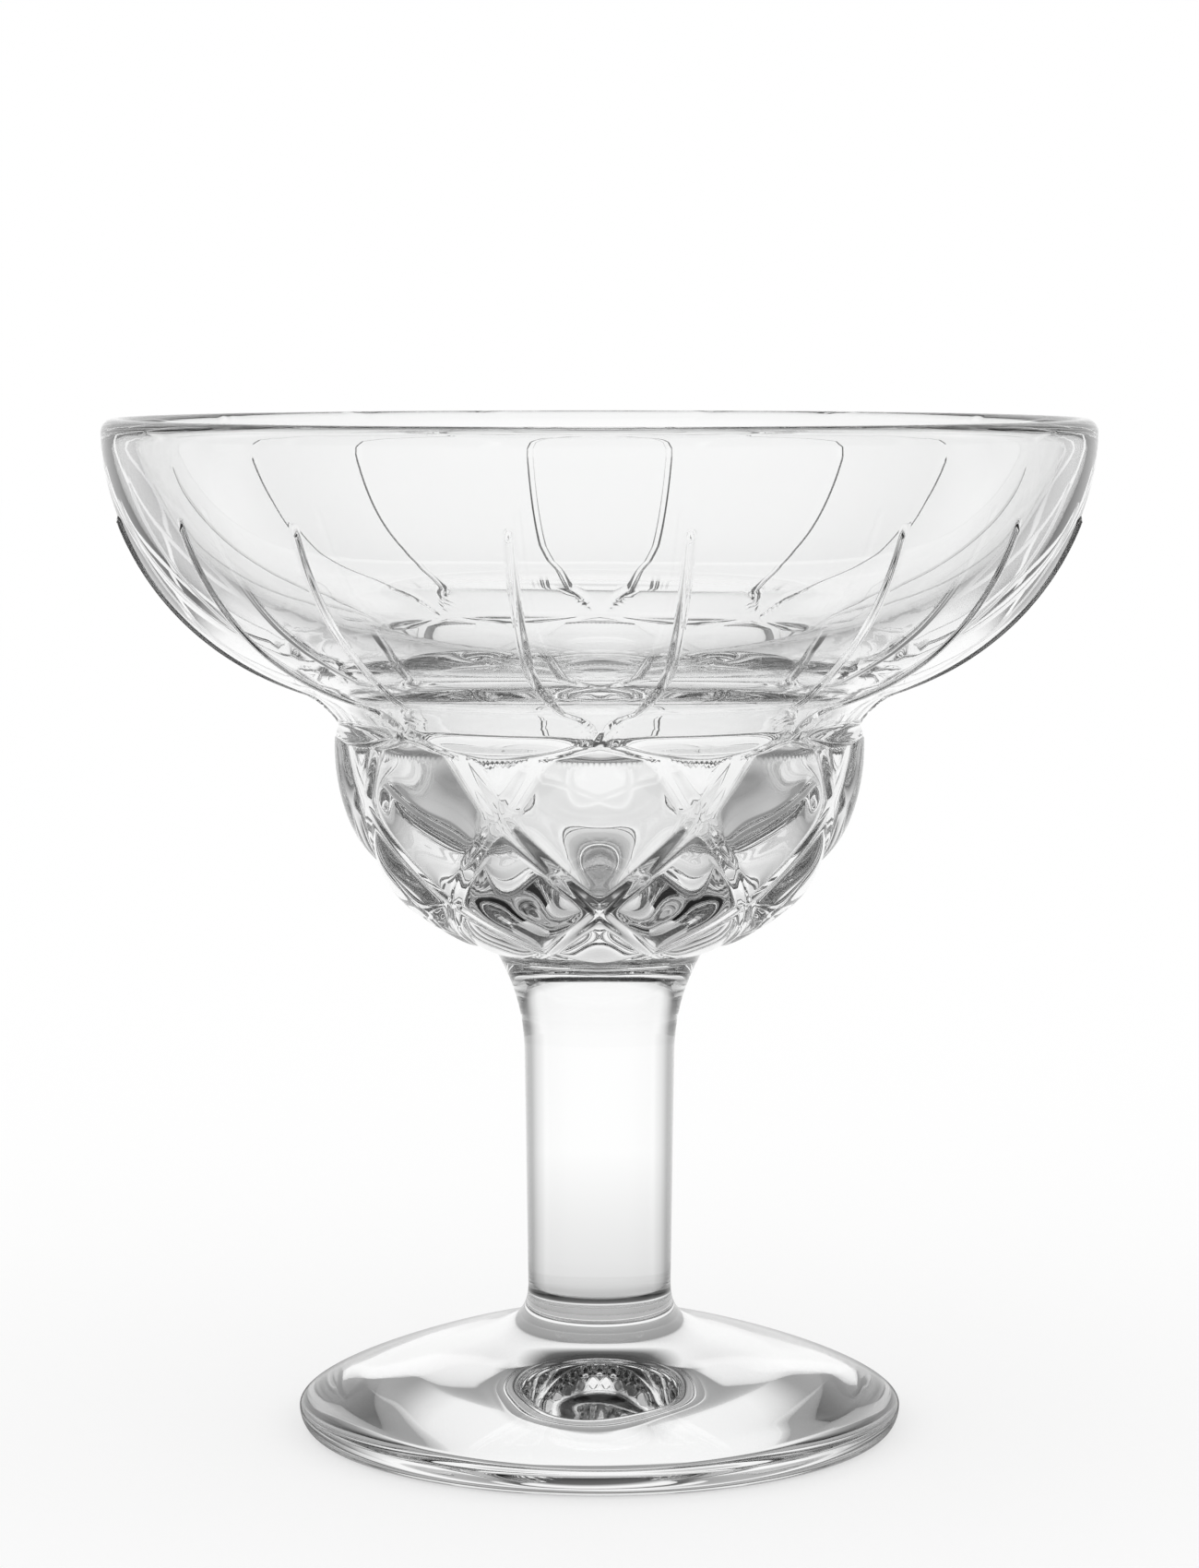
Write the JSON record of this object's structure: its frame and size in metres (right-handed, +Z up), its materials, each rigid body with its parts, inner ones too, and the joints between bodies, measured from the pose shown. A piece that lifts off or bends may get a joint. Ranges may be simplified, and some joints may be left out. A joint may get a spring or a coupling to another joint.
{
  "type": "margarita glass",
  "caption": "Clear pressed-glass margarita glass: wide ribbed cup over a round latticed bulb, solid stem and domed foot.",
  "frame": {"origin": "centre of the ring that the foot stands on, at table height", "axes": "+Z up along the stem's axis, through the middle of the rim; -Y faces the picture's camera, with a rib pair in front"},
  "size_m": [0.116, 0.116, 0.1196],
  "materials": {
    "glass": "clear, fire-polished pressed glass"
  },
  "bodies": {
    "root": {"bowl": "glass", "stem": "glass", "foot": "glass"}
  },
  "joints": []
}
